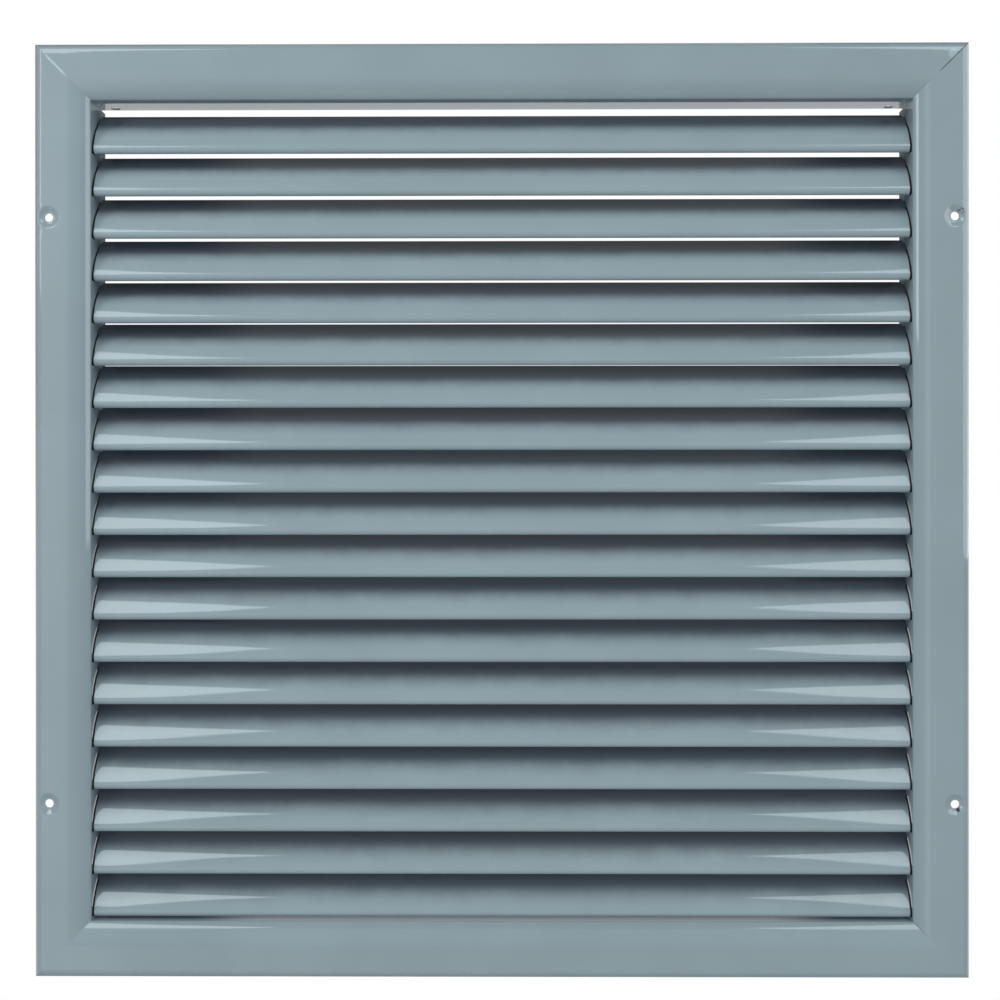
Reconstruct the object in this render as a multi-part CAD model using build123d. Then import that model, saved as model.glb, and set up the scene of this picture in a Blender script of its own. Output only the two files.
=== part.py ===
from build123d import *
import os
from math import cos, radians, sin, tan

# Square wall grille with fixed curved blades, in millimetres.
# The wall plane is Y = 0, the front faces -Y, the duct lies towards +Y and +Z is up.
# The origin is the centre of the grille on the wall plane.

# Frame members, bent from sheet and mitred at the corners
outer_width = 550.0
outer_height = 550.0
face_width = 32.5
face_height = 8.0
frame_sheet = 1.2
lip_radius = 5.5
bevel_width = 12.4
bevel_angle = 45.0
bend_radius = 2.0
side_neck_end = 33.0
end_neck_end = 23.5
mitre_gap = 0.16

# Screw holes in pressed dimples, two in each side member
screw_edge_distance = 8.8
screw_spacing = 345.0
screw_hole_diameter = 5.0
dimple_diameter = 13.0
dimple_floor_diameter = 7.0
dimple_depth = 1.9
dimple_rim_radius = 1.5

# Round holes in the neck of the top member
neck_hole_diameter = 5.6
neck_hole_edge_distance = 4.2
neck_hole_wall_distance = 9.6

# Blades, bent from sheet, each with a rounded nose along its lower front edge
blade_pitch = 25.15
blade_sheet = 1.0
blade_setback = 0.4
blade_rise = 26.6
blade_floor_gap = 1.6
blade_end_gap = 0.9
nose_radius = 3.0
nose_return = 3.0
nose_angle = 67.0
flank_radius = 50.0
flank_angle = 60.0
shoulder_radius = 26.0
rear_angle = 37.0

# Tabs at the blade ends, pushed through slots in the side necks and folded over outside
tab_width = 8.0
tab_rear_distance = 2.5
tab_fold_length = 6.0
slot_clearance = 0.3
slot_rear_length = 4.6

# Corner plates behind the mitres
plate_sheet = 1.5
plate_width = 10.0
plate_leg = 46.0
plate_edge_distance = 7.0

# Sizes that follow from those above
opening_width = outer_width - 2 * face_width
opening_height = outer_height - 2 * face_width
front_y = -face_height
side_wall_inner_x = opening_width / 2
side_wall_outer_x = side_wall_inner_x + frame_sheet
blade_half_length = side_wall_inner_x - blade_end_gap
blade_count = int((opening_height - blade_floor_gap - blade_rise) / blade_pitch) + 1
lowest_blade_z = -opening_height / 2 + blade_floor_gap
cutter_length = 4 * face_height


def heading(angle):
    """Unit vector at an angle in degrees from the first sketch axis."""
    return Vector(cos(radians(angle)), sin(radians(angle)))


def sheet_face(line_at, thickness):
    """Closed section of a bent sheet, between its outer line and the same line set in by its thickness."""
    outer = line_at(0)
    inner = line_at(thickness)
    first_edge = Line(outer[0] @ 0, inner[0] @ 0)
    last_edge = Line(outer[-1] @ 1, inner[-1] @ 1)
    return make_face(outer + inner + [first_edge, last_edge])


def frame_line(neck_end):
    """Front line of a frame member in (distance from the outer edge, depth), as a function of inset.

    It rises from the wall, rounds the lip, crosses the flat face, falls away over the bevel and
    turns back along the neck.
    """
    bevel_radius = bevel_width / sin(radians(bevel_angle))
    bend_width = bend_radius * (1 - sin(radians(bevel_angle)))
    flat_end = face_width - bend_width - bevel_width
    lip_centre = Vector(lip_radius, front_y + lip_radius)
    bevel_centre = Vector(flat_end, front_y + bevel_radius)
    bend_centre = bevel_centre + heading(bevel_angle - 90) * (bevel_radius - bend_radius)

    def line_at(inset):
        lip = lip_radius - inset
        bevel = bevel_radius - inset
        bend = bend_radius - inset
        lip_start = lip_centre + heading(180) * lip
        flat_start = lip_centre + heading(270) * lip
        flat_stop = bevel_centre + heading(-90) * bevel
        bevel_stop = bevel_centre + heading(bevel_angle - 90) * bevel
        neck_start = bend_centre + heading(0) * bend
        return [
            Line((inset, 0), lip_start),
            ThreePointArc(lip_start, lip_centre + heading(225) * lip, flat_start),
            Line(flat_start, flat_stop),
            ThreePointArc(flat_stop, bevel_centre + heading(bevel_angle / 2 - 90) * bevel, bevel_stop),
            ThreePointArc(bevel_stop, bend_centre + heading((bevel_angle - 90) / 2) * bend, neck_start),
            Line(neck_start, (neck_start.X, neck_end)),
        ]

    return line_at


def straight_bar(section, length, across):
    """A section carried along X, as the top member of a frame that measures length by across."""
    plane = Plane(origin=(-length / 2, 0, across / 2), x_dir=(0, 0, -1), z_dir=(1, 0, 0))
    return extrude(plane * section, length)


def mitred_bar(neck_end, length, across):
    """A frame member in the top position, cut back from the corner lines by half the mitre gap."""
    bar = straight_bar(sheet_face(frame_line(neck_end), frame_sheet), length, across)
    end_shift = mitre_gap / 2 / cos(radians(45))
    reach = face_width + frame_sheet
    half = length / 2 - end_shift
    outline = Polyline(
        (-half, across / 2),
        (half, across / 2),
        (half - reach, across / 2 - reach),
        (reach - half, across / 2 - reach),
        close=True,
    )
    return bar & extrude(Plane.XZ * make_face(outline), face_height + neck_end, both=True)


def dimple(bar, length, across, along):
    """Press one screw dimple into a member in the top position, at a distance along it."""
    floor_radius = dimple_floor_diameter / 2
    rim_radius = dimple_diameter / 2
    floor_y = front_y + dimple_depth
    air = face_height
    wall_lean = Vector(rim_radius - floor_radius, dimple_depth).get_angle(Vector(1, 0))
    back_step = frame_sheet * tan(radians(wall_lean / 2))
    place = Pos(along, 0, across / 2 - screw_edge_distance)

    dish = Polyline(
        (0, front_y - air),
        (rim_radius + air, front_y - air),
        (rim_radius + air, front_y),
        (rim_radius, front_y),
        (floor_radius, floor_y),
        (0, floor_y),
        close=True,
    )
    dish_face = make_face(dish)
    rim = dish_face.vertices().sort_by_distance((rim_radius, front_y))[0]
    dish_face = fillet(rim, dimple_rim_radius)

    back = Polyline(
        (0, front_y),
        (rim_radius + back_step, front_y),
        (rim_radius + back_step, front_y + frame_sheet),
        (floor_radius + back_step, floor_y + frame_sheet),
        (0, floor_y + frame_sheet),
        close=True,
    )
    filled_outline = frame_line(0)(0)[:3]
    flat_stop = filled_outline[-1] @ 1
    filled_outline.append(Polyline(flat_stop, (flat_stop.X, 0), (0, 0)))
    room = straight_bar(make_face(filled_outline), length, across)
    pressed = place * revolve(make_face(back), Axis.Y) & room
    hole = place * Rot(90, 0, 0) * Cylinder(screw_hole_diameter / 2, cutter_length)
    return bar + pressed - place * revolve(dish_face, Axis.Y) - hole


def end_member():
    """Top or bottom member, in the top position."""
    return mitred_bar(end_neck_end, outer_width, outer_height)


def top_member():
    """Top member, with the two round holes near the ends of its neck."""
    bar = end_member()
    hole_y = end_neck_end - neck_hole_edge_distance
    hole_x = side_wall_inner_x - neck_hole_wall_distance
    for x in (-hole_x, hole_x):
        bar -= Pos(x, hole_y, opening_height / 2) * Cylinder(neck_hole_diameter / 2, cutter_length)
    return bar


def side_member(side):
    """Left (-1) or right (+1) member, with screw dimples and a slot for each blade tab."""
    bar = mitred_bar(side_neck_end, outer_height, outer_width)
    for along in (-screw_spacing / 2, screw_spacing / 2):
        bar = dimple(bar, outer_height, outer_width, along)
    bar = Rot(0, 90 * side, 0) * bar
    for row in range(blade_count):
        bar -= tab_slot(side, blade_z(row))
    return bar


def blade_z(row):
    """Height of the lowest point of a blade, with row 0 at the top."""
    return lowest_blade_z + (blade_count - 1 - row) * blade_pitch


def blade_line():
    """Front line of a blade in (depth, height), as a function of inset.

    It starts at the free edge of the return behind the nose, runs round the nose, up the slightly
    curved flank, over the shoulder and along the straight rear part.
    """
    nose_centre = Vector(blade_setback + nose_radius, nose_radius)
    flank_centre = nose_centre + heading(nose_angle - 90) * (flank_radius - nose_radius)
    shoulder_centre = flank_centre + heading(flank_angle + 90) * (flank_radius - shoulder_radius)
    shoulder_top = shoulder_centre + heading(rear_angle + 90) * shoulder_radius
    rear_length = (blade_rise - shoulder_top.Y) / sin(radians(rear_angle))

    def line_at(inset):
        nose = nose_radius - inset
        flank = flank_radius - inset
        shoulder = shoulder_radius - inset
        return_end = nose_centre + heading(nose_angle - 90) * nose + heading(nose_angle) * nose_return
        nose_back = nose_centre + heading(nose_angle - 90) * nose
        nose_front = nose_centre + heading(nose_angle + 90) * nose
        flank_middle = flank_centre + heading((nose_angle + flank_angle) / 2 + 90) * flank
        flank_end = flank_centre + heading(flank_angle + 90) * flank
        shoulder_middle = shoulder_centre + heading((flank_angle + rear_angle) / 2 + 90) * shoulder
        shoulder_end = shoulder_centre + heading(rear_angle + 90) * shoulder
        return [
            Line(return_end, nose_back),
            ThreePointArc(nose_back, nose_centre - heading(nose_angle) * nose, nose_front),
            ThreePointArc(nose_front, flank_middle, flank_end),
            ThreePointArc(flank_end, shoulder_middle, shoulder_end),
            Line(shoulder_end, shoulder_end + heading(rear_angle) * rear_length),
        ]

    return line_at


def rear_corner():
    """Upper rear edge of a blade in (depth, height) above its lowest point."""
    return blade_line()(0)[-1] @ 1


def tab_plane(z):
    """Plane at a blade's rear edge: X along the blade, Y through its sheet and Z up its slope."""
    corner = rear_corner()
    slope = heading(rear_angle)
    return Plane(
        origin=(0, corner.X, z + corner.Y),
        x_dir=(1, 0, 0),
        z_dir=(0, slope.X, slope.Y),
    )


def tab_slot(side, z):
    """Cutter for the slot that takes one blade tab, longer than the tab towards the rear."""
    plane = tab_plane(z)
    width = tab_width + 2 * slot_clearance + slot_rear_length
    lower_end = -tab_rear_distance - tab_width - slot_clearance
    middle = (side * (side_wall_inner_x + frame_sheet / 2), blade_sheet / 2, lower_end + width / 2)
    return plane * Pos(*middle) * Box(3 * frame_sheet, blade_sheet + 2 * slot_clearance, width)


def folded_tab(side, z):
    """One blade tab: it passes through the side neck and is folded flat on its outer face."""
    start = blade_half_length
    stop = side_wall_outer_x + blade_sheet
    fold_end = blade_sheet + tab_fold_length
    outline = Polyline(
        (start, 0),
        (stop - blade_sheet, 0),
        (stop, blade_sheet),
        (stop, fold_end),
        (stop - blade_sheet, fold_end),
        (stop - blade_sheet, blade_sheet),
        (start, blade_sheet),
        close=True,
    )
    tab = Pos(0, 0, -tab_rear_distance - tab_width) * extrude(make_face(outline), tab_width)
    if side < 0:
        tab = mirror(tab, Plane.YZ)
    return tab_plane(z) * tab


def blade(row):
    """One blade with its two folded tabs."""
    z = blade_z(row)
    section_plane = Plane(origin=(-blade_half_length, 0, z), x_dir=(0, 1, 0), z_dir=(1, 0, 0))
    body = extrude(section_plane * sheet_face(blade_line(), blade_sheet), 2 * blade_half_length)
    return body + folded_tab(-1, z) + folded_tab(1, z)


def corner_plate(side_x, side_z):
    """Flat plate behind one mitre, against the back of both faces."""
    x = outer_width / 2 - plate_edge_distance
    z = outer_height / 2 - plate_edge_distance
    outline = Polyline(
        (side_x * x, side_z * z),
        (side_x * (x - plate_leg), side_z * z),
        (side_x * (x - plate_leg), side_z * (z - plate_width)),
        (side_x * (x - plate_width), side_z * (z - plate_width)),
        (side_x * (x - plate_width), side_z * (z - plate_leg)),
        (side_x * x, side_z * (z - plate_leg)),
        close=True,
    )
    back_plane = Plane(origin=(0, front_y + frame_sheet, 0), x_dir=(1, 0, 0), z_dir=(0, -1, 0))
    return extrude(back_plane * make_face(outline), -plate_sheet)


nodes = {
    "frame_top": top_member(),
    "frame_bottom": Rot(0, 180, 0) * end_member(),
    "frame_left": side_member(-1),
    "frame_right": side_member(1),
}
for row in range(blade_count):
    nodes[f"blade_{row + 1:02d}"] = blade(row)
for height_name, side_z in (("top", 1), ("bottom", -1)):
    for width_name, side_x in (("left", -1), ("right", 1)):
        nodes[f"corner_plate_{height_name}_{width_name}"] = corner_plate(side_x, side_z)

os.makedirs("parts", exist_ok=True)
for name, shape in nodes.items():
    export_step(shape, f"parts/{name}.step")
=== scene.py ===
# %% [markdown]
# # A painted ventilation grille
# This lesson dresses a wall grille that is bent from thin steel sheet and sprayed with a glossy blue-grey
# paint. The imported model already has every piece at its real size. What it lacks is what paint and bent
# sheet show up close: fine rounded edges, smooth pressed dimples and a gloss that picks up the lamps.
# The imported model is loaded first, and its box is printed and read for the sizes of the frame.

# %% Load the imported model
import math

import bpy
import numpy as np
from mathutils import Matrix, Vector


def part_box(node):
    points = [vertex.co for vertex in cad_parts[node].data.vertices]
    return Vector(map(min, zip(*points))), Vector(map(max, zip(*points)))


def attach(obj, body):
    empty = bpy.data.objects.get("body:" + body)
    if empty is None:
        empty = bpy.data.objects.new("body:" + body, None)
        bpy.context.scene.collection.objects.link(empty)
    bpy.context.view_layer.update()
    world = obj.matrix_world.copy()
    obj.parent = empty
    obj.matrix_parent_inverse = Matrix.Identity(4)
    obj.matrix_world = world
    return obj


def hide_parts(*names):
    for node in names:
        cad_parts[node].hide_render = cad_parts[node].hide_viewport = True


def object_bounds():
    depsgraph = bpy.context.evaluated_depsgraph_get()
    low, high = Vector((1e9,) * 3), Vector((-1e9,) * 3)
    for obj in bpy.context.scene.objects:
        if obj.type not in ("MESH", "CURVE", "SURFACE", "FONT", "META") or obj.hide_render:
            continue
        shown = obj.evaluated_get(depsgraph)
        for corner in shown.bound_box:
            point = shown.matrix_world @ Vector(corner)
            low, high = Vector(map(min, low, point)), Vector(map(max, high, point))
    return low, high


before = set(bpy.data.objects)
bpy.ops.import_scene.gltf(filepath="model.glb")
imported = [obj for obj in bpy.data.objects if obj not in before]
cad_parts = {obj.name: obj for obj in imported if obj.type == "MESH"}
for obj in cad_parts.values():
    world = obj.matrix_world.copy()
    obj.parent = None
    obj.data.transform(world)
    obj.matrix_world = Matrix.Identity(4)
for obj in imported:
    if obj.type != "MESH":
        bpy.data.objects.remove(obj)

cad_low, cad_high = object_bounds()
print("pieces in the packed model:", len(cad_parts))
print("box in millimetres:", [round(1000 * side, 2) for side in cad_high - cad_low])

# %% [markdown]
# ## The bent section of the frame
# Each frame member is one strip of sheet. From the wall outwards it has a short rim, a round lip, a flat
# face, a wide convex bevel, a tight bend and a neck that runs back into the duct. A sheet could be made as
# one surface with a Solidify modifier, but then the bends would lose their true inner radius. Here the
# section is a line that can be drawn at any inset: at 0 it is the painted front, and at the gauge of the
# sheet it is the back, so both sides of every bend are concentric arcs.

# %% Sizes of the frame section
mm = 0.001
top_low, top_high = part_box("frame_top")
face_width = top_high.z - top_low.z
face_front = cad_low.y
half_side = cad_high.x
end_neck_end = top_high.y
side_neck_end = cad_high.y
frame_sheet = 1.2 * mm
lip_radius = 5.5 * mm
bevel_width = 12.4 * mm
bevel_angle = 45.0
bend_radius = 2.0 * mm
bevel_sine = math.sin(math.radians(bevel_angle))
bevel_cosine = math.cos(math.radians(bevel_angle))
bevel_radius = bevel_width / bevel_sine
flat_end = face_width - bevel_width - bend_radius * (1 - bevel_sine)
last_station = 17.8 * mm
flat_stations = np.linspace(lip_radius, last_station, 8)[1:]
lip_points, bevel_points, bend_points = 13, 15, 9
print("face", round(face_width / mm, 2), "mm wide, flat up to", round(flat_end / mm, 2), "mm from the edge")


def arc(centre, radius, start, stop, count):
    """A point on the arc is the centre plus the radius times (cosine, sine) of an angle in degrees."""
    angle = np.radians(np.linspace(start, stop, count))
    return np.asarray(centre) + radius * np.stack([np.cos(angle), np.sin(angle)], axis=1)


def frame_line(inset, neck_stations):
    """The section as points (u, y), where u is the distance from the outer edge.

    Every arc keeps its centre and gives up the inset from its radius, and every straight stretch moves by
    the inset along its own normal, so lines at two insets are parallel point by point.
    """
    bevel_centre = np.array([flat_end, face_front + bevel_radius])
    bend_centre = bevel_centre + (bevel_radius - bend_radius) * np.array([bevel_sine, -bevel_cosine])
    rim = [[inset, 0.0]]
    lip = arc((lip_radius, face_front + lip_radius), lip_radius - inset, 180, 270, lip_points)
    flat = [[u, face_front + inset] for u in flat_stations]
    bevel = arc(bevel_centre, bevel_radius - inset, -90, bevel_angle - 90, bevel_points)
    bend = arc(bend_centre, bend_radius - inset, bevel_angle - 90, 0, bend_points)[1:]
    neck = [[face_width - inset, y] for y in neck_stations]
    return np.concatenate([rim, lip, flat, bevel, bend, neck])


# %% [markdown]
# ## From a line to a closed sheet
# A sheet is a grid of points on its front and the same grid on its back. The back faces run the other way
# round, so that they look outwards too. What is still open is every edge that only one face uses: the cut
# edges of the strip and the walls of its holes. Finding those edges by counting works for any outline, so
# one small function closes every piece of this model.

# %% Close a sheet and make a piece of it
sharp_turn = 40.0
mitre_tolerance = 0.6 * mm
open_seam_end = 18 * mm
bevel_seam_start = 23 * mm


def close_sheet(front, back, quads):
    """Front faces, back faces turned round, and a wall on each edge that belongs to one face only."""
    count = len(front)
    sides = np.stack([quads, np.roll(quads, -1, axis=1)], axis=2).reshape(-1, 2)
    order = np.sort(sides, axis=1)
    where, uses = np.unique(order, axis=0, return_inverse=True, return_counts=True)[1:]
    free = sides[uses[where.ravel()] == 1]
    walls = np.stack([free[:, 1], free[:, 0], free[:, 0] + count, free[:, 1] + count], axis=1)
    faces = np.concatenate([quads, quads[:, ::-1] + count, walls])
    points = np.concatenate([front, back])
    used, faces = np.unique(faces, return_inverse=True)
    return points[used], faces.reshape(-1, 4)


def sharp_edges(mesh):
    """True for each edge whose two faces turn by more than the sharp turn. Every face has four corners."""
    normals = np.empty(3 * len(mesh.polygons))
    mesh.polygons.foreach_get("normal", normals)
    normals = normals.reshape(-1, 3)
    edge_of_corner = np.empty(len(mesh.loops), dtype=np.int32)
    mesh.loops.foreach_get("edge_index", edge_of_corner)
    pair = np.argsort(edge_of_corner, kind="stable").reshape(-1, 2) // 4
    return (normals[pair[:, 0]] * normals[pair[:, 1]]).sum(axis=1) < math.cos(math.radians(sharp_turn))


def mitre_rounding(middles):
    """How much of the rounding a mitre edge keeps, for the middles of edges.

    Paint fills most of each mitre, so its edges keep none. They show on the outer half at the top right
    and on the bevel at the bottom right.
    """
    u = half_side - np.abs(middles[:, 0])
    right = middles[:, 0] > 0
    top = middles[:, 2] > 0
    shows = right & np.where(top, u < open_seam_end, u > bevel_seam_start)
    return np.where(shows, 1.0, 0.0)


def sheet_piece(name, node, points, faces, edge_radius, material):
    """A mesh object in the place of a node, with its sharp edges rounded by a fine bevel."""
    mesh = bpy.data.meshes.new(name)
    mesh.from_pydata(points, [], faces)
    mesh.shade_smooth()
    mesh.materials.append(material)
    ends = np.empty(2 * len(mesh.edges), dtype=np.int32)
    mesh.edges.foreach_get("vertices", ends)
    ends = points[ends.reshape(-1, 2)]
    off_mitre = np.abs(np.abs(ends[:, :, 0]) - np.abs(ends[:, :, 2]))
    on_mitre = (off_mitre < mitre_tolerance).all(axis=1)
    sharp = sharp_edges(mesh)
    share = np.where(on_mitre, mitre_rounding(ends.mean(axis=1)), 1.0) * sharp
    weights = mesh.attributes.new("bevel_weight_edge", "FLOAT", "EDGE")
    weights.data.foreach_set("value", share.astype(np.float32))
    creases = mesh.attributes.new("sharp_edge", "BOOLEAN", "EDGE")
    creases.data.foreach_set("value", sharp & on_mitre)
    piece = bpy.data.objects.new(name, mesh)
    bpy.context.scene.collection.objects.link(piece)
    rounding = piece.modifiers.new("paint_round_edge", "BEVEL")
    rounding.limit_method = "WEIGHT"
    rounding.width = edge_radius
    rounding.segments = 3
    rounding.use_clamp_overlap = False
    rounding.harden_normals = True
    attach(piece, "root")
    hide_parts(node)
    return piece


# %% [markdown]
# ## Holes as rings of faces
# A hole in a grid starts as a rectangle of cells left out. The gap is then filled by rings of faces that
# begin on the rectangle and end on the outline of the hole. This keeps the edge of every hole clean, where
# a Boolean modifier would leave slivers that show in a glossy paint. The points of every ring are numbered
# by one running value, side by side with the points of the rectangle: 0 to 1 on its first side, and so on.

# %% Grid and ring helpers
def grid_quads(rows, columns, left_out):
    """Four point numbers for each cell of the grid, apart from the cells that are left out."""
    number = np.arange(rows * columns).reshape(rows, columns)
    quads = np.stack([number[:-1, :-1], number[1:, :-1], number[1:, 1:], number[:-1, 1:]], axis=2)
    return quads[~left_out]


def rectangle_loop(rows, columns, width):
    """Point numbers round a rectangle of cells: down its first column, across, up and back."""
    first, last = rows
    left, right = columns
    return np.concatenate([
        np.arange(first, last) * width + left,
        last * width + np.arange(left, right),
        np.arange(last, first, -1) * width + right,
        first * width + np.arange(right, left, -1),
    ])


def running_value(rows, columns):
    """The running value of each point on the loop: the number of its side plus the share of it passed."""
    steps = [rows[1] - rows[0], columns[1] - columns[0]] * 2
    return np.concatenate([side + np.arange(count) / count for side, count in enumerate(steps)])


def corner_outline(corners, running):
    """Points on a four-cornered outline: each side is passed evenly while the running value grows by one."""
    closed = np.concatenate([corners, corners[:1]])
    return np.stack([np.interp(running, np.arange(5), closed[:, axis]) for axis in (0, 1)], axis=1)


def circle_outline(centre, radius, running):
    """Points on a circle: a quarter turn for each side, from the corner at 225 degrees."""
    angle = np.radians(225 + 90 * running)
    return np.asarray(centre) + radius * np.stack([np.cos(angle), np.sin(angle)], axis=1)


def span(values, low, high):
    """The first and last index of the grid lines that lie between two places."""
    inside = np.flatnonzero((values >= low) & (values <= high))
    return inside[0], inside[-1]


# %% [markdown]
# ## Pressed dimples round the screw holes
# A countersunk dimple is pressed into the face before painting, so its rim is soft and it eats a little
# into the round lip. It is worked out as a height: the face and the lip give one depth, the dish gives
# another, and the deeper of the two wins. A plain maximum would leave a hard crease, so the two are blended
# where they are nearly equal, which is how a press leaves a rounded rim.

# %% Dimple surface
screw_hole_radius = 2.5 * mm
screw_edge_distance = 8.8 * mm
dish_floor_radius = 3.5 * mm
dish_rim_radius = 6.5 * mm
dish_depth = 1.9 * mm
dish_blend = 0.3 * mm
dish_ring_radii = np.array([7.3, 6.9, 6.5, 6.1, 5.5, 4.7, 4.1, 3.7, 3.4, 3.0]) * mm
dish_slope = dish_depth / (dish_rim_radius - dish_floor_radius)
dish_back_step = frame_sheet * math.tan(math.atan(dish_slope) / 2)


def soft_maximum(a, b, blend):
    """The larger value, plus a quarter of the blend times the square of how nearly the two are equal."""
    near = np.maximum(blend - np.abs(a - b), 0) / blend
    return np.maximum(a, b) + near**2 * blend / 4


def dish_height(outline, inset):
    """Points (u, y, v) of the face or its back round a hole, for an outline of points (u, v).

    The base is the flat face, or the lip's arc nearer the edge than its radius. The dish falls on a cone
    from its rim to its floor. The height is the soft maximum of the two.
    """
    u = outline[:, 0].copy()
    v = outline[:, 1]
    across = np.clip((lip_radius - u) / lip_radius, 0, 1)
    u += inset * across
    lip_height = np.sqrt(np.maximum((lip_radius - inset) ** 2 - np.maximum(lip_radius - u, 0) ** 2, 0))
    base = face_front + lip_radius - lip_height
    radius = np.hypot(u - screw_edge_distance, v)
    step = dish_back_step if inset else 0.0
    fall = dish_slope * (dish_rim_radius + step - radius)
    dish = face_front + inset + dish_depth - soft_maximum(dish_depth - fall, 0 * fall, dish_blend)
    return np.stack([u, soft_maximum(base, dish, dish_blend), v], axis=1)


print("dimple walls slope at", round(math.degrees(math.atan(dish_slope)), 1), "degrees")

# %% [markdown]
# ## One function for all four members
# The members differ only in how deep the neck runs and in their holes, so one function makes them all in
# the place of the top member, and a quarter turn about the middle brings each to its own side. The two ends
# are cut on the mitre: a point that lies further from the outer edge ends that much earlier.

# %% Frame member
mitre_setback = 0.004 * mm
frame_rounding = 0.25 * mm


def member_grid(line, columns):
    """Each point (u, y) of the line at each place v along it, the end columns drawn back to the mitre."""
    v = np.tile(columns, (len(line), 1))
    mitre = half_side - line[:, 0] - mitre_setback
    v[:, 0] = -mitre
    v[:, -1] = mitre
    flat = np.broadcast_to(line[:, None, :], (*v.shape, 2))
    return np.concatenate([flat, v[:, :, None]], axis=2).reshape(-1, 3)


def member_place(points, quarter_turns):
    """From (u, y, v) to (x, y, z): the top member lies at z = half the side less u, then it is turned."""
    x, y, z = points[:, 2], points[:, 1], half_side - points[:, 0]
    turned = [(x, z), (z, -x), (-x, -z), (-z, x)][quarter_turns]
    return np.stack([turned[0], y, turned[1]], axis=1)


def neck_rings(outline):
    """One ring on the front of the neck and one on its back, for an outline of points (y, v)."""
    return [[np.column_stack([np.full(len(outline), face_width - inset), outline])]
            for inset in (0.0, frame_sheet)]


def member_sheet(neck_stations, columns, cuts, quarter_turns):
    """The grid of one member, with a set of rings in the place of the cells under each cut."""
    lines = [frame_line(inset, neck_stations) for inset in (0.0, frame_sheet)]
    sides = [[member_grid(line, columns)] for line in lines]
    rows, width = len(lines[0]), len(columns)
    left_out = np.zeros((rows - 1, width - 1), dtype=bool)
    rings = []
    count = rows * width
    for cut_rows, cut_columns, front_rings, back_rings in cuts:
        left_out[cut_rows[0]:cut_rows[1], cut_columns[0]:cut_columns[1]] = True
        loop = rectangle_loop(cut_rows, cut_columns, width)
        new = count + np.arange(len(front_rings) * len(loop)).reshape(-1, len(loop))
        loops = np.concatenate([loop[None], new])
        outer, inner = loops[:-1], loops[1:]
        ring = [outer, np.roll(outer, -1, axis=1), np.roll(inner, -1, axis=1), inner]
        rings.append(np.stack(ring, axis=2).reshape(-1, 4))
        sides[0].extend(front_rings)
        sides[1].extend(back_rings)
        count += new.size
    quads = np.concatenate([grid_quads(rows, width, left_out), *rings])
    front, back = [member_place(np.concatenate(side), quarter_turns) for side in sides]
    return close_sheet(front, back, quads)


# %% [markdown]
# ## Arithmetic with nodes
# The paints, the light of the room and the floor are all worked out by a few nodes: a smooth step between
# two values, one step of arithmetic, and a product of several masks. Small functions that make these nodes
# keep the formulas readable, where a node tree laid out one socket at a time would hide them.

# %% Node steps
class NodeSteps:
    """The arithmetic that the paints, the room and the floor share, in one node tree."""

    def __init__(self, tree):
        self.nodes = tree.nodes
        self.links = tree.links

    def step(self, value, start, stop, first=0.0, last=1.0):
        """A smooth step from the first number to the last while the value goes from start to stop."""
        ramp = self.nodes.new("ShaderNodeMapRange")
        ramp.interpolation_type = "SMOOTHSTEP"
        self.links.new(value, ramp.inputs["Value"])
        for socket, number in zip(("From Min", "From Max", "To Min", "To Max"), (start, stop, first, last)):
            ramp.inputs[socket].default_value = number
        return ramp.outputs["Result"]

    def calculate(self, operation, first, second=0.0):
        """One arithmetic step on two sockets, or on a socket and a number."""
        step = self.nodes.new("ShaderNodeMath")
        step.operation = operation
        for socket, value in zip(step.inputs, (first, second)):
            if isinstance(value, (int, float)):
                socket.default_value = value
            else:
                self.links.new(value, socket)
        return step.outputs["Value"]

    def product(self, first, *others):
        """The first value times each of the others."""
        for value in others:
            first = self.calculate("MULTIPLY", first, value)
        return first


# %% [markdown]
# ## Glossy paint
# The paint is a smooth enamel over steel. Up close it is never quite even: it lies a little thicker and
# darker in broad clouds, its surface has the fine ripple that painters call orange peel, and the gloss
# changes slightly from place to place. All three are noise on Object coordinates, in metres, so they stay
# with the piece from every side. The broad cloud changes the colour, a middle noise the roughness, and the
# finest one drives a bump of a few micrometres.

# %% Paint material
ripple_strength = 0.06
ripple_height = 0.05 * mm
run_depth = 3 * mm
paint_ior = 1.58
cloud_scale, run_scale, gloss_scale, ripple_scale, chip_scale = 14, 60, 120, 600, 700
chip_fade = 1.3


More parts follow.
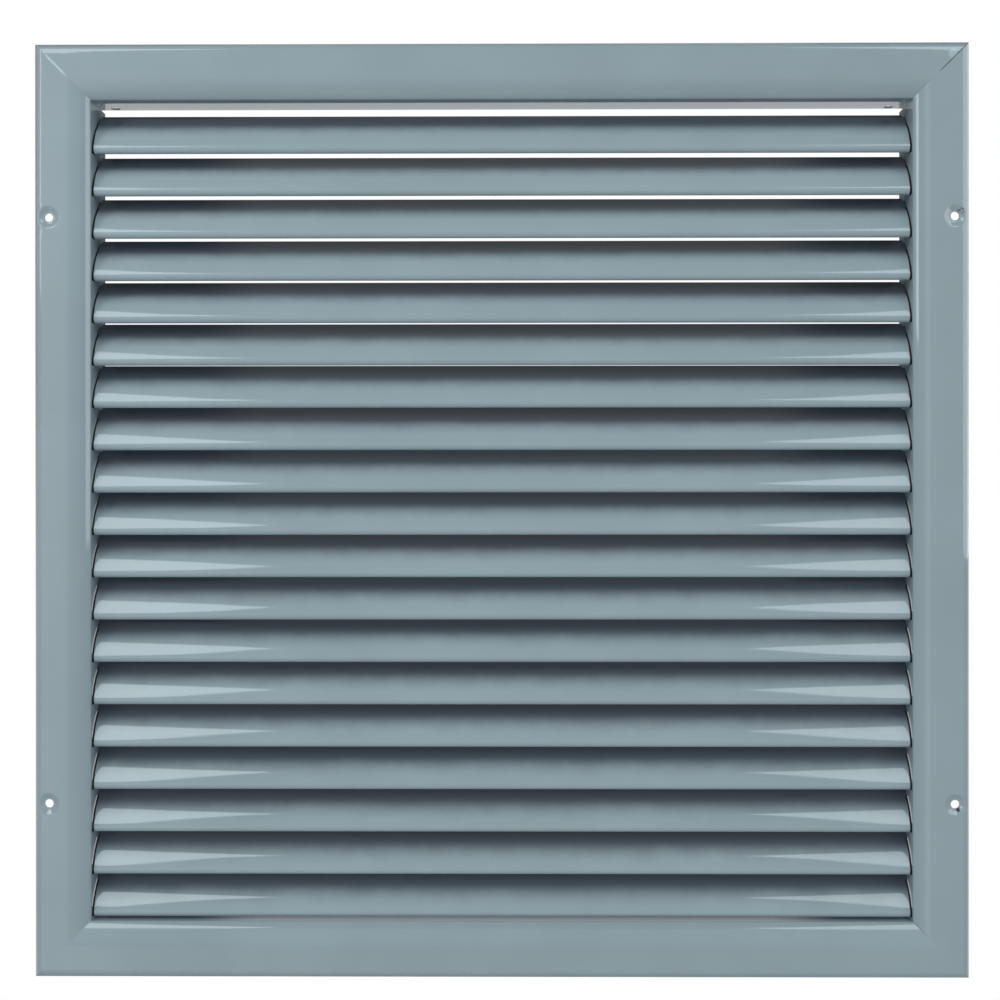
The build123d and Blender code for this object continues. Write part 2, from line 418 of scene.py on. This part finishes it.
class PaintNodes(NodeSteps):
    """The few node steps that the paints are made of, on the Object coordinates of one material."""

    def __init__(self, name):
        self.material = bpy.data.materials.new(name)
        self.material.use_nodes = True
        super().__init__(self.material.node_tree)
        self.shader = self.nodes["Principled BSDF"]
        self.place = self.nodes.new("ShaderNodeTexCoord").outputs["Object"]

    def noise(self, scale, detail):
        """Noise with a number of cells to the metre."""
        texture = self.nodes.new("ShaderNodeTexNoise")
        texture.inputs["Scale"].default_value = scale
        texture.inputs["Detail"].default_value = detail
        self.links.new(self.place, texture.inputs["Vector"])
        return texture.outputs["Fac"]

    def axis(self, name):
        """One of the three Object coordinates."""
        parts = self.nodes.new("ShaderNodeSeparateXYZ")
        self.links.new(self.place, parts.inputs["Vector"])
        return parts.outputs[name]

    def mix(self, share, first, second):
        """From the first colour to the second as the share goes from 0 to 1."""
        blend = self.nodes.new("ShaderNodeMix")
        blend.data_type = "RGBA"
        self.links.new(share, blend.inputs[0])
        for socket, colour in zip((blend.inputs[6], blend.inputs[7]), (first, second)):
            if isinstance(colour, tuple):
                socket.default_value = (*colour, 1)
            else:
                self.links.new(colour, socket)
        return blend.outputs[2]

    def cover(self, share, colour):
        """A new colour over the one that the shader has, by a share from 0 to 1."""
        socket = self.shader.inputs["Base Color"]
        self.links.new(self.mix(share, socket.links[0].from_socket, colour), socket)

    def near(self, x, z, radius):
        """One at a place on the wall and zero beyond a radius from it, with a ragged edge."""
        across = self.calculate("SUBTRACT", self.axis("X"), x)
        upwards = self.calculate("SUBTRACT", self.axis("Z"), z)
        squares = [self.calculate("POWER", part, 2.0) for part in (across, upwards)]
        distance = self.calculate("SQRT", self.calculate("ADD", *squares))
        ragged = self.calculate("ADD", distance, self.product(self.noise(chip_scale, 2), radius))
        return self.step(ragged, radius, chip_fade * radius, 1.0, 0.0)


def tinted(colour, factor):
    """A colour with every channel multiplied by one factor."""
    return tuple(channel * factor for channel in colour)


def paint(name, colour, deep_colour, deep_start, deep_end, shade_slope=0.0, roughness=0.06, cloud_depth=0.03):
    """Principled paint: colour times (1 plus or minus the cloud), roughness and bump from finer noise.

    Between two depths the colour goes to a darker one, and the shade slope moves those depths deeper for
    each metre of height. On the blades this is painted shade under the blade above, which sits further back
    in the higher rows, as light from a lamp at the level of the top would fall. On the frame the necks only
    get a little darker towards the duct.
    """
    coat = PaintNodes(name)
    cloud = coat.step(coat.noise(cloud_scale, 4), 0.3, 0.7)
    full = coat.mix(cloud, tinted(colour, 1 - cloud_depth), tinted(colour, 1 + cloud_depth))
    depth = coat.calculate("SUBTRACT", coat.axis("Y"), coat.product(coat.axis("Z"), shade_slope))
    ragged = coat.calculate("ADD", depth, coat.product(coat.noise(run_scale, 3), run_depth))
    deep_share = coat.step(ragged, deep_start, deep_end)
    shade = coat.mix(deep_share, full, deep_colour)
    gloss = coat.step(coat.noise(gloss_scale, 3), 0.2, 0.8, roughness * 0.75, roughness * 1.25)
    coat.links.new(shade, coat.shader.inputs["Base Color"])
    coat.links.new(gloss, coat.shader.inputs["Roughness"])
    ripple = coat.nodes.new("ShaderNodeBump")
    ripple.inputs["Strength"].default_value = ripple_strength
    ripple.inputs["Distance"].default_value = ripple_height
    coat.links.new(coat.noise(ripple_scale, 2), ripple.inputs["Height"])
    coat.links.new(ripple.outputs["Normal"], coat.shader.inputs["Normal"])
    coat.shader.inputs["IOR"].default_value = paint_ior
    return coat


blue_grey = (0.27, 0.355, 0.39)
# The blades have the frame's paint made six per cent lighter: painted light on one and the same paint.
lit_blade_colour = tinted(blue_grey, 1.06)
# The darker blade colour far back is painted shade under the blade above.
blade_shade_colour = (0.098, 0.124, 0.152)
frame_coat = paint("frame_paint", blue_grey, tinted(blue_grey, 0.9), 2 * mm, 26 * mm)
blade_coat = paint("blade_paint", lit_blade_colour, blade_shade_colour, 4 * mm, 14 * mm, shade_slope=0.007)
plate_coat = paint("plate_paint", blue_grey, tinted(blue_grey, 0.75), -9 * mm, 0.0, 0.0, 0.3, 0.12)
frame_paint, blade_paint, plate_paint = [coat.material for coat in (frame_coat, blade_coat, plate_coat)]
print("paints:", frame_paint.name, blade_paint.name, plate_paint.name)

# %% [markdown]
# ## The curved blades
# A blade is rolled from a narrow strip. Its lower front edge is turned round into a nose, so that no cut
# edge faces the room, and from the nose it leans back in two arcs and a straight. At each end a tab goes
# through a slot in the side neck and is folded down behind it. The section is again a line that can be
# drawn at any inset, and the tabs are extra columns that follow the fold.

# %% Blade section
blade_names = sorted(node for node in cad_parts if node.startswith("blade_"))
blade_low, blade_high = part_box(blade_names[0])
blade_rise = blade_high.z - blade_low.z
blade_setback = blade_low.y
blade_sheet = 1.0 * mm
blade_end_gap = 0.9 * mm
blade_half = half_side - face_width - blade_end_gap
nose_radius = 3.0 * mm
nose_return = 3.0 * mm
nose_angle = 67.0
flank_radius = 50.0 * mm
flank_angle = 60.0
shoulder_radius = 26.0 * mm
rear_angle = 37.0
tab_width = 8.0 * mm
tab_rear_distance = 2.5 * mm
tab_stations = np.array([tab_rear_distance + tab_width, tab_rear_distance, 0.0])
nose_points, flank_points, shoulder_points = 25, 7, 13


def heading(angle):
    """A unit step in the plane of the section, (towards the duct, up), at an angle in degrees."""
    return np.array([math.cos(math.radians(angle)), math.sin(math.radians(angle))])


nose_centre = np.array([blade_setback + nose_radius, nose_radius])
flank_start = nose_centre + nose_radius * heading(nose_angle + 90)
flank_centre = flank_start - flank_radius * heading(nose_angle + 90)
flank_end = flank_centre + flank_radius * heading(flank_angle + 90)
shoulder_centre = flank_end - shoulder_radius * heading(flank_angle + 90)
rear_start = shoulder_centre + shoulder_radius * heading(rear_angle + 90)
rear_length = (blade_rise - rear_start[1]) / heading(rear_angle)[1]
rear_corner = rear_start + rear_length * heading(rear_angle)
print("blade rises", round(blade_rise / mm, 2), "mm, rear straight", round(rear_length / mm, 2), "mm long")


def blade_line(inset):
    """The section as points (y, height): return, nose, flank, shoulder and rear straight at one inset."""
    nose = arc(nose_centre, nose_radius - inset, nose_angle - 90, nose_angle - 270, nose_points)
    fold_back = nose[:1] + nose_return * heading(nose_angle)
    flank = arc(flank_centre, flank_radius - inset, nose_angle + 90, flank_angle + 90, flank_points)[1:]
    shoulder_turn = (flank_angle + 90, rear_angle + 90)
    shoulder = arc(shoulder_centre, shoulder_radius - inset, *shoulder_turn, shoulder_points)
    rear = shoulder[-1] + (rear_length - tab_stations)[:, None] * heading(rear_angle)
    return np.concatenate([fold_back, nose, flank, shoulder[1:], rear])


# %% [markdown]
# The tab leaves the end of the blade level, turns over a small radius and runs down the outside of the
# neck. Its path is a line in the plane of (outwards, through the sheet). The path at the front of the sheet
# and the path at its back share the centre of the fold.

# %% Blade with its tabs
fold_radius = 0.3 * mm
tab_fold_length = 6.0 * mm
neck_outside = half_side - face_width + frame_sheet
fold_points = 7
blade_columns = 17
blade_rounding = 0.22 * mm


def tab_path(inset):
    """Points (outwards, through the sheet) of the tab: level, a quarter turn, then down to its end."""
    centre = (neck_outside - fold_radius, blade_sheet + fold_radius)
    turn = arc(centre, fold_radius + blade_sheet - inset, -90, 0, fold_points)
    end = [[turn[-1, 0], blade_sheet + tab_fold_length]]
    return np.concatenate([turn, end])


def blade_side(inset, columns, bottom):
    """All points of one side of a blade: the section at every column, then the two tabs."""
    line = blade_line(inset)
    x = np.repeat(columns[None, :], len(line), axis=0)
    flat = np.broadcast_to(line[:, None, :], (*x.shape, 2))
    body = np.concatenate([x[:, :, None], flat], axis=2).reshape(-1, 3)
    through = heading(rear_angle - 90)
    path = tab_path(inset)
    along = rear_corner - tab_stations[:2, None] * heading(rear_angle)
    drop = along[:, None, :] + path[None, :, 1:] * through
    tabs = []
    for side in (-1, 1):
        out = np.broadcast_to(side * path[None, :, :1], (2, len(path), 1))
        tabs.append(np.concatenate([out, drop], axis=2).reshape(-1, 3))
    points = np.concatenate([body, *tabs])
    points[:, 2] += bottom
    return points


def blade_sheet_mesh(bottom):
    """The closed sheet of one blade whose lowest point lies at the given height."""
    columns = np.linspace(-blade_half, blade_half, blade_columns)
    rows, width, steps = len(blade_line(0.0)), blade_columns, len(tab_path(0.0))
    none = np.zeros((rows - 1, width - 1), dtype=bool)
    quads = [grid_quads(rows, width, none)[:, ::-1]]
    for side, column in ((0, 0), (1, width - 1)):
        start = rows * width + side * 2 * steps
        lower = np.concatenate([[(rows - 3) * width + column], start + np.arange(steps)])
        upper = np.concatenate([[(rows - 2) * width + column], start + steps + np.arange(steps)])
        strip = np.stack([lower[:-1], lower[1:], upper[1:], upper[:-1]], axis=1)
        quads.append(strip if side else strip[:, ::-1])
    front, back = [blade_side(inset, columns, bottom) for inset in (0.0, blade_sheet)]
    return close_sheet(front, back, np.concatenate(quads))


for node in blade_names:
    points, faces = blade_sheet_mesh(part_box(node)[0].z)
    sheet_piece("painted_" + node, node, points, faces, blade_rounding, blade_paint)
print(len(blade_names), "blades of", len(faces), "faces")

# %% [markdown]
# ## The side members
# Each side member carries two dimpled screw holes and a slot for every blade. The columns of its grid are a
# tenth of the blade pitch apart, so that every slot falls on the same ten columns of its own blade.

# %% Side members
slot_clearance = 0.3 * mm
slot_rear_length = 4.6 * mm
screw_height = 172.5 * mm
blade_pitch = blade_low.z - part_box(blade_names[1])[0].z
slot_front = -(tab_rear_distance + tab_width + slot_clearance)
slot_rear = slot_rear_length - tab_rear_distance + slot_clearance
slot_top = -slot_clearance
slot_under = blade_sheet + slot_clearance
slot_stations = np.linspace(12.4, 26.6, 6) * mm
slot_depths = (12.0 * mm, 27.0 * mm)
slot_heights = np.array([17.0, 30.5]) * mm
side_neck_stations = np.concatenate([[5 * mm], slot_stations, [29.5 * mm, side_neck_end]])
dish_cells = (0.5 * mm, 17.9 * mm)
dish_half_length = 11 * mm
columns_to_pitch = 10


def slot_corners(bottom):
    """Corners (y, z) of a slot: two places along the blade's rear straight, each above and below it."""
    along = np.array([[slot_front], [slot_rear], [slot_rear], [slot_front]])
    through = np.array([[slot_under], [slot_under], [slot_top], [slot_top]])
    corner = rear_corner + along * heading(rear_angle) + through * heading(rear_angle - 90)
    return corner + [0, bottom]


def screw_cut(line, columns, height):
    """The cells under a dimple, and its rings from half way to the edge of the cells to the screw hole."""
    rows = span(line[:, 0], *dish_cells)
    place = span(columns, height - dish_half_length, height + dish_half_length)
    running = running_value(rows, place)
    edge = member_grid(line, columns)[rectangle_loop(rows, place, len(columns))]
    edge = np.stack([edge[:, 0], edge[:, 2] - height], axis=1)
    centre = (screw_edge_distance, 0)
    circles = [circle_outline(centre, radius, running) for radius in (*dish_ring_radii, screw_hole_radius)]
    outlines = [0.5 * (circles[0] + edge), *circles]
    front, back = [[dish_height(outline, inset) + [0, 0, height] for outline in outlines]
                   for inset in (0.0, frame_sheet)]
    return rows, place, front, back


def slot_cut(line, columns, bottom, upward):
    """The cells under the slot of one blade, and the ring from the edge of the cells to the slot."""
    rows = span(line[:, 1], *slot_depths)
    low, high = sorted(upward * (bottom + slot_heights))
    place = span(columns, low, high)
    corners = slot_corners(bottom) * [1, upward]
    corners = corners if upward > 0 else corners[::-1]
    front, back = neck_rings(corner_outline(corners, running_value(rows, place)))
    return rows, place, front, back


def side_member(node, quarter_turns, upward):
    """One side member. Upward is 1 where its own length runs up the wall and -1 where it runs down."""
    line = frame_line(0.0, side_neck_stations)
    bottoms = np.array([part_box(name)[0].z for name in blade_names])
    mitre = half_side - face_width - mitre_setback
    lines = np.arange(bottoms.min(), mitre, blade_pitch / columns_to_pitch)
    columns = np.sort(np.concatenate([[-half_side], upward * lines, [half_side]]))
    cuts = [screw_cut(line, columns, height) for height in (screw_height, -screw_height)]
    cuts += [slot_cut(line, columns, bottom, upward) for bottom in bottoms]
    points, faces = member_sheet(side_neck_stations, columns, cuts, quarter_turns)
    return sheet_piece("painted_" + node, node, points, faces, frame_rounding, frame_paint)


sides = [side_member("frame_right", 1, -1), side_member("frame_left", 3, 1)]
print([f"{piece.name}: {len(piece.data.polygons)} faces" for piece in sides])

# %% [markdown]
# ## The top and bottom members
# These have shorter necks and no slots. The top one has a round hole near each end of its neck.

# %% Top and bottom members
neck_hole_radius = 2.8 * mm
neck_hole_place = 232.9 * mm
neck_hole_depth = 19.3 * mm
hole_stations = np.linspace(-3.6, 3.6, 7) * mm
hole_cells = 3.7 * mm
spread_columns = np.linspace(-220, 220, 23) * mm
end_neck_stations = np.concatenate([[8 * mm], neck_hole_depth + hole_stations, [end_neck_end]])


def hole_cut(line, columns, place):
    """The cells under a round hole in the neck, and the ring from the edge of the cells to the hole."""
    rows = span(line[:, 1], neck_hole_depth - hole_cells, neck_hole_depth + hole_cells)
    across = span(columns, place - hole_cells, place + hole_cells)
    running = running_value(rows, across)
    front, back = neck_rings(circle_outline((neck_hole_depth, place), neck_hole_radius, running))
    return rows, across, front, back


def end_member(node, quarter_turns, hole_places):
    """A top or bottom member with round holes in its neck at the given places along it."""
    line = frame_line(0.0, end_neck_stations)
    near_holes = [place + hole_stations for place in hole_places]
    columns = np.sort(np.concatenate([[-half_side], spread_columns, *near_holes, [half_side]]))
    cuts = [hole_cut(line, columns, place) for place in hole_places]
    points, faces = member_sheet(end_neck_stations, columns, cuts, quarter_turns)
    return sheet_piece("painted_" + node, node, points, faces, frame_rounding, frame_paint)


top = end_member("frame_top", 0, (-neck_hole_place, neck_hole_place))
bottom = end_member("frame_bottom", 2, ())
print(top.name, len(top.data.polygons), "faces,", bottom.name, len(bottom.data.polygons), "faces")

# %% [markdown]
# ## Dull necks and painted shade in the gaps
# The paint was sprayed from the front with the blades in place. The side necks lie edge on to it, so they
# have a duller coat. In the narrow gap at the end of each blade the neck gets a near black colour, painted
# shade where the gap is dark, so a dark line follows every blade end. The front of a blade lies at a depth
# that grows with nearly the square of the height above its lowest point, so the dark band is found from the
# height within one pitch. On the bottom member the photograph shows the lamps only as a line along the bend,
# so the coat on the bevel beside that bend is dull as well.

# %% Painted shade in the gaps beside the blades
lowest_blade = min(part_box(node)[0].z for node in blade_names)
neck_side = half_side - face_width
blades_top = len(blade_names) * blade_pitch
front_power = 1.85
gap_shade_colour = tinted(blue_grey, 0.1)
aside = frame_coat.calculate("ABSOLUTE", frame_coat.axis("X"))
on_side = frame_coat.step(aside, neck_side - 1.4 * mm, neck_side - 0.6 * mm)
climbed = frame_coat.calculate("SUBTRACT", frame_coat.axis("Z"), lowest_blade)
height = frame_coat.calculate("FLOORED_MODULO", climbed, blade_pitch)
height_share = frame_coat.calculate("DIVIDE", height, blade_rise)
depth_share = frame_coat.calculate("POWER", height_share, front_power)
blade_front = frame_coat.product(depth_share, rear_corner[0])
behind_blade = frame_coat.calculate("SUBTRACT", frame_coat.axis("Y"), blade_front)
gap_start = frame_coat.step(behind_blade, -0.6 * mm, -0.1 * mm)
gap_end = frame_coat.step(behind_blade, 7 * mm, 9 * mm, 1.0, 0.0)
inner_face = frame_coat.step(aside, neck_side + 0.4 * mm, neck_side + 0.7 * mm, 1.0, 0.0)
beside_blades = frame_coat.step(climbed, blades_top - 0.5 * mm, blades_top, 1.0, 0.0)
gap_shade_mask = frame_coat.product(gap_start, gap_end, on_side, inner_face, beside_blades)
# The gaps take a near black colour: painted shade.
frame_coat.cover(gap_shade_mask, gap_shade_colour)

# %% Dull coat on the side necks and the lower bevel
neck_dullness = 0.5
bevel_dullness = 0.85
full_gloss = 0.5
in_duct = frame_coat.step(frame_coat.axis("Y"), 0.5 * mm, 3 * mm)
on_neck = frame_coat.product(on_side, in_duct, neck_dullness)
from_bottom = frame_coat.calculate("ADD", frame_coat.axis("Z"), half_side)
edge_distance = frame_coat.calculate("SUBTRACT", half_side, aside)
past_mitre = frame_coat.calculate("SUBTRACT", edge_distance, from_bottom)
bevel_start = frame_coat.step(from_bottom, 17 * mm, 20 * mm, 0.0, bevel_dullness)
bevel_stop = frame_coat.step(from_bottom, 28.4 * mm, 29.4 * mm, 1.0, 0.0)
low_bevel = frame_coat.product(bevel_start, bevel_stop, frame_coat.step(past_mitre, 0.0, 0.3 * mm))
dull = frame_coat.calculate("MAXIMUM", frame_coat.calculate("MAXIMUM", gap_shade_mask, on_neck), low_bevel)
gloss_level = frame_coat.step(dull, 0.0, 1.0, full_gloss, 0.0)
frame_coat.links.new(gloss_level, frame_coat.shader.inputs["Specular IOR Level"])

# %% [markdown]
# Two of the screw holes show wear. At the top right the paint is rubbed into dark specks above the hole, and
# at the bottom right a burr has lifted the paint below it. Beside the burr a pale spot is painted as a
# glint.

# %% Worn paint and a painted glint at two screw holes
screw_side = half_side - screw_edge_distance
speck_scale = 1500
speck_colour = (0.06, 0.08, 0.09)
burr_colour = (0.03, 0.04, 0.045)
glint_colour = (0.5, 0.55, 0.57)
rubbed = frame_coat.near(screw_side + 3.0 * mm, screw_height + 3.0 * mm, 3.2 * mm)
specks = frame_coat.step(frame_coat.noise(speck_scale, 2), 0.5, 0.56)
frame_coat.cover(frame_coat.product(rubbed, specks), speck_colour)
burr = frame_coat.near(screw_side + 1.6 * mm, -screw_height - 3.1 * mm, 1.6 * mm)
frame_coat.cover(burr, burr_colour)
# A pale spot beside the burr: a painted glint.
painted_glint = frame_coat.near(screw_side + 3.6 * mm, -screw_height - 1.8 * mm, 1.1 * mm)
frame_coat.cover(painted_glint, glint_colour)

# %% [markdown]
# The mitres were filled with paint. At the top left a pale line is painted over the outer half of the seam,
# a painted highlight on that filling. At the top right the filling has cracked out to the corner, and a dark
# line is painted in the crack as its shade, with a pale smear beside it.

# %% Painted highlight and shade in the two top mitres
seam_highlight_colour = tinted(blue_grey, 1.55)
smear_colour = tinted(blue_grey, 1.3)
seam_shade_colour = tinted(blue_grey, 0.12)
off_seam = frame_coat.calculate("ABSOLUTE", frame_coat.calculate("SUBTRACT", aside, frame_coat.axis("Z")))
on_left = frame_coat.step(frame_coat.axis("X"), -0.01, 0.01, 1.0, 0.0)
on_right = frame_coat.calculate("SUBTRACT", 1.0, on_left)
highlight_start = frame_coat.step(edge_distance, 6 * mm, 9 * mm)
highlight_end = frame_coat.step(edge_distance, 17 * mm, 21 * mm, 1.0, 0.0)
highlight_wide = frame_coat.step(off_seam, 0.4 * mm, 1.3 * mm, 1.0, 0.0)
# A pale line over the top left seam: a painted highlight.
frame_coat.cover(frame_coat.product(highlight_start, highlight_end, highlight_wide, on_left), seam_highlight_colour)
smear = frame_coat.near(half_side - 10.5 * mm, half_side - 7.5 * mm, 4 * mm)
frame_coat.cover(smear, smear_colour)
seam_shade_end = frame_coat.step(edge_distance, 15 * mm, 19 * mm, 1.0, 0.0)
seam_shade_wide = frame_coat.step(off_seam, 0.25 * mm, 0.45 * mm, 1.0, 0.0)
# A dark line in the cracked top right seam: painted shade.
frame_coat.cover(frame_coat.product(seam_shade_end, seam_shade_wide, on_right), seam_shade_colour)

# %% [markdown]
# ## The corner plates
# The plates behind the mitres are plain cut sheet whose shape is already right, so they stay as they are
# and only get a thinner, duller coat of the same paint.

# %% Corner plates
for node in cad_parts:
    if node.startswith("corner_plate"):
        plate = bpy.data.objects[node]
        plate.data.materials.clear()
        plate.data.materials.append(plate_paint)
print("corner plates painted")

# %% [markdown]
# ## The light of the room
# The grille hangs in front of a white background. The camera always sees that background as white. What a
# glossy paint mirrors is another matter: white from low behind, half of that above it on a board no wider
# than the blades, and a dim room in front, a little brighter on its left. What lights the paint is a third
# thing: a soft light from the front, stronger from above than from below, so that the space under each blade
# falls into shade, and a light from low behind for the back of the piece, part of which the floor takes
# away. No real room is all three at once. One world shader holds them, and the Light Path node says which of
# them a ray asks for.

# %% Room light
scene = bpy.context.scene
scene.view_settings.view_transform = "Standard"
world = bpy.data.worlds.new("white_room")
world.use_nodes = True
scene.world = world
room = NodeSteps(world.node_tree)
direction = room.nodes.new("ShaderNodeSeparateXYZ")
room.links.new(room.nodes.new("ShaderNodeTexCoord").outputs["Generated"], direction.inputs["Vector"])
ray = room.nodes.new("ShaderNodeLightPath").outputs


def ramp(axis, start, stop, first, last):
    """A smooth step from the first strength to the last while one part of the direction passes a range."""
    return room.step(direction.outputs[axis], start, stop, first, last)


def choose(test, otherwise, chosen):
    """The chosen value where the test is one, and the other value where it is zero."""
    mix = room.nodes.new("ShaderNodeMix")
    for socket, value in zip((mix.inputs[0], mix.inputs[2], mix.inputs[3]), (test, otherwise, chosen)):
        room.links.new(value, socket)
    return mix.outputs[0]


from_front = ramp("Y", -0.25, 0.1, 1.27, 0.03)
from_above = ramp("Z", -0.45, 0.35, 0.52, 1.08)
overhead = ramp("Z", 0.5, 0.9, 1.0, 0.3)
from_behind = room.product(ramp("Y", 0.15, 0.5, 0.0, 1.5), ramp("Z", 0.05, 0.4, 1.0, 0.0))
lighting = room.calculate("ADD", room.product(from_front, from_above, overhead), from_behind)
low_white = ramp("Z", -0.1, 0.15, 1.0, 0.0)
high_white = room.product(ramp("Z", -0.1, 0.15, 0.0, 0.5), ramp("Z", 0.55, 0.9, 1.0, 0.5))
board_left = ramp("X", -0.19, -0.145, 0.05, 1.0)
board_right = ramp("X", 0.145, 0.19, 1.0, 0.05)
board = room.product(high_white, board_left, board_right)
behind = room.product(ramp("Y", -0.1, 0.2, 0.0, 1.0), room.calculate("ADD", low_white, board))
left_wall = room.product(ramp("X", -0.34, -0.1, 0.8, 0.2), ramp("X", -0.62, -0.42, 0.25, 1.0))
room_front = room.product(ramp("Y", -0.1, 0.2, 1.0, 0.0), ramp("Z", 0.3, 0.5, 1.0, 0.25))
mirrored = room.calculate("MAXIMUM", behind, room.product(left_wall, room_front))
seen = room.calculate("MAXIMUM", ray["Is Camera Ray"], ray["Is Transmission Ray"])
strength = choose(seen, choose(ray["Is Glossy Ray"], lighting, mirrored), seen)
background = room.nodes["Background"].inputs
background["Color"].default_value = (1, 1, 1, 1)
room.links.new(strength, background["Strength"])

# %% [markdown]
# Two soft panels stand in front, left and right, above the camera. They are turned inwards to face the
# grille, so their inner edges are further away, and the ends of the blades mirror them as long pale wedges.
# They only show in the gloss, because the soft light of the room already does the rest evenly.

# %% Lamps
lamp_aside = 0.654
lamp_forward = 0.891
lamp_above = 1.089
lamp_width = 0.737
lamp_height = 0.795
lamp_turn = 66.0
lamp_lean = 5.5
lamp_tip = 11.0
lamp_colour = (0.9, 1.0, 1.04)


def area_lamp(name, width, height, radiance):
    """A panel that the camera doesn't see. Its power is radiance times pi times its area."""
    light = bpy.data.lights.new(name, "AREA")
    light.shape = "RECTANGLE"
    light.size = width
    light.size_y = height
    light.energy = radiance * math.pi * width * height
    lamp = bpy.data.objects.new(name, light)
    lamp.visible_camera = False
    scene.collection.objects.link(lamp)
    return lamp


def soft_lamp(name, side, radiance):
    """A panel in front of the grille, turned inwards, that lights only the gloss."""
    lamp = area_lamp(name, lamp_width, lamp_height, radiance)
    lamp.data.color = lamp_colour
    lamp.location = (side * lamp_aside, -lamp_forward, lamp_above)
    lamp.rotation_euler = np.radians([90 - lamp_tip, -side * lamp_lean, side * lamp_turn])
    lamp.visible_diffuse = False
    return lamp


lamps = [soft_lamp("lamp_left", -1, 3.7), soft_lamp("lamp_right", 1, 3.2)]
print([f"{lamp.name} {lamp.data.energy:.1f} W" for lamp in lamps])

# %% [markdown]
# Close beside the grille stand two more panels. The round lips and the tight bends mirror them as pale lines
# along the upper half of the frame. The left one also lights the paint, so the top left corner is the
# brightest. The right one only shows in the gloss.

# %% Side panels
panel_aside = 0.65


def side_panel(name, side, depths, heights, radiance, lights_paint):
    """An upright panel beside the grille that faces it, between two depths and two heights."""
    panel = area_lamp(name, depths[1] - depths[0], heights[1] - heights[0], radiance)
    panel.location = (side * panel_aside, sum(depths) / 2, sum(heights) / 2)
    panel.rotation_euler = np.radians([90, 0, side * 90])
    panel.visible_diffuse = lights_paint
    return panel


panels = [side_panel("panel_left", -1, (-0.58, -0.36), (0.2, 0.75), 3.6, True),
          side_panel("panel_right", 1, (-0.55, 0.4), (-0.04, 0.7), 2.2, False)]
print([panel.name for panel in panels])

# %% [markdown]
# The floor lies well below, because the grille is held by a wall and not by the floor. It is a pale matt
# board. For the camera most of it is mixed with white, so that it stays pale and still keeps a soft shadow.

# %% Floor
floor_drop = 0.6
floor_reach = 1.1
floor_white = 0.75
floor_mesh = bpy.data.meshes.new("pale_floor")
corners = floor_reach * np.array([[-1, -1], [1, -1], [1, 1], [-1, 1]])
floor_points = np.column_stack([corners, np.full(4, cad_low.z - floor_drop)])
floor_mesh.from_pydata(floor_points, [], [[0, 1, 2, 3]])
floor = bpy.data.objects.new("pale_floor", floor_mesh)
scene.collection.objects.link(floor)
floor_paint = bpy.data.materials.new("pale_floor")
floor_paint.use_nodes = True
floor_steps = NodeSteps(floor_paint.node_tree)
matt = floor_steps.nodes["Principled BSDF"]
matt.inputs["Base Color"].default_value = (0.9, 0.9, 0.9, 1)
matt.inputs["Roughness"].default_value = 0.9
white = floor_steps.nodes.new("ShaderNodeEmission")
pale = floor_steps.nodes.new("ShaderNodeMixShader")
camera_ray = floor_steps.nodes.new("ShaderNodeLightPath").outputs["Is Camera Ray"]
floor_steps.links.new(floor_steps.product(camera_ray, floor_white), pale.inputs["Fac"])
floor_steps.links.new(matt.outputs["BSDF"], pale.inputs[1])
floor_steps.links.new(white.outputs["Emission"], pale.inputs[2])
floor_steps.links.new(pale.outputs["Shader"], floor_steps.nodes["Material Output"].inputs["Surface"])
floor_mesh.materials.append(floor_paint)

# %% [markdown]
# ## The camera
# The photograph was taken square on, from about a metre away. The camera stands very slightly to the right
# of the middle, which makes the right side a touch taller.

# %% Camera
sensor_width = 36.0
focal_share = 1.6575
camera_place = (0.0085, -0.98, 0.0007)
camera_turn = (90 - 0.046, 0.026, 0.451)
camera_data = bpy.data.cameras.new("camera")
camera_data.sensor_width = sensor_width
camera_data.lens = sensor_width * focal_share
camera_data.shift_x = -0.0025
camera_data.shift_y = 0.0105
camera = bpy.data.objects.new("camera", camera_data)
camera.location = camera_place
camera.rotation_euler = np.radians(camera_turn)
scene.collection.objects.link(camera)
scene.camera = camera
